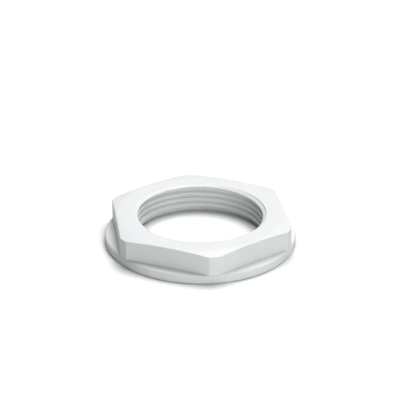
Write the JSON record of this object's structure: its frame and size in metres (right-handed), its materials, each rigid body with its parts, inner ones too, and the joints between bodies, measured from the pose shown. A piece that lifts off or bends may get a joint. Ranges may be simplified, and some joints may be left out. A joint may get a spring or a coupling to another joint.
{
  "type": "cable gland locknut",
  "caption": "Flat hexagonal locknut with a round flange and an internal thread, for clamping a cable gland to an enclosure wall.",
  "frame": {"origin": "centre of the flange's underside, on the bore's axis", "axes": "+Z along the bore's axis, from the flange towards the spanner hexagon; two corners of the hexagon lie on the Y axis"},
  "size_m": [0.0464, 0.0464, 0.0072],
  "materials": {
    "moulding": "light grey polyamide, satin as moulded"
  },
  "bodies": {
    "root": {"locknut": "moulding"}
  },
  "joints": []
}
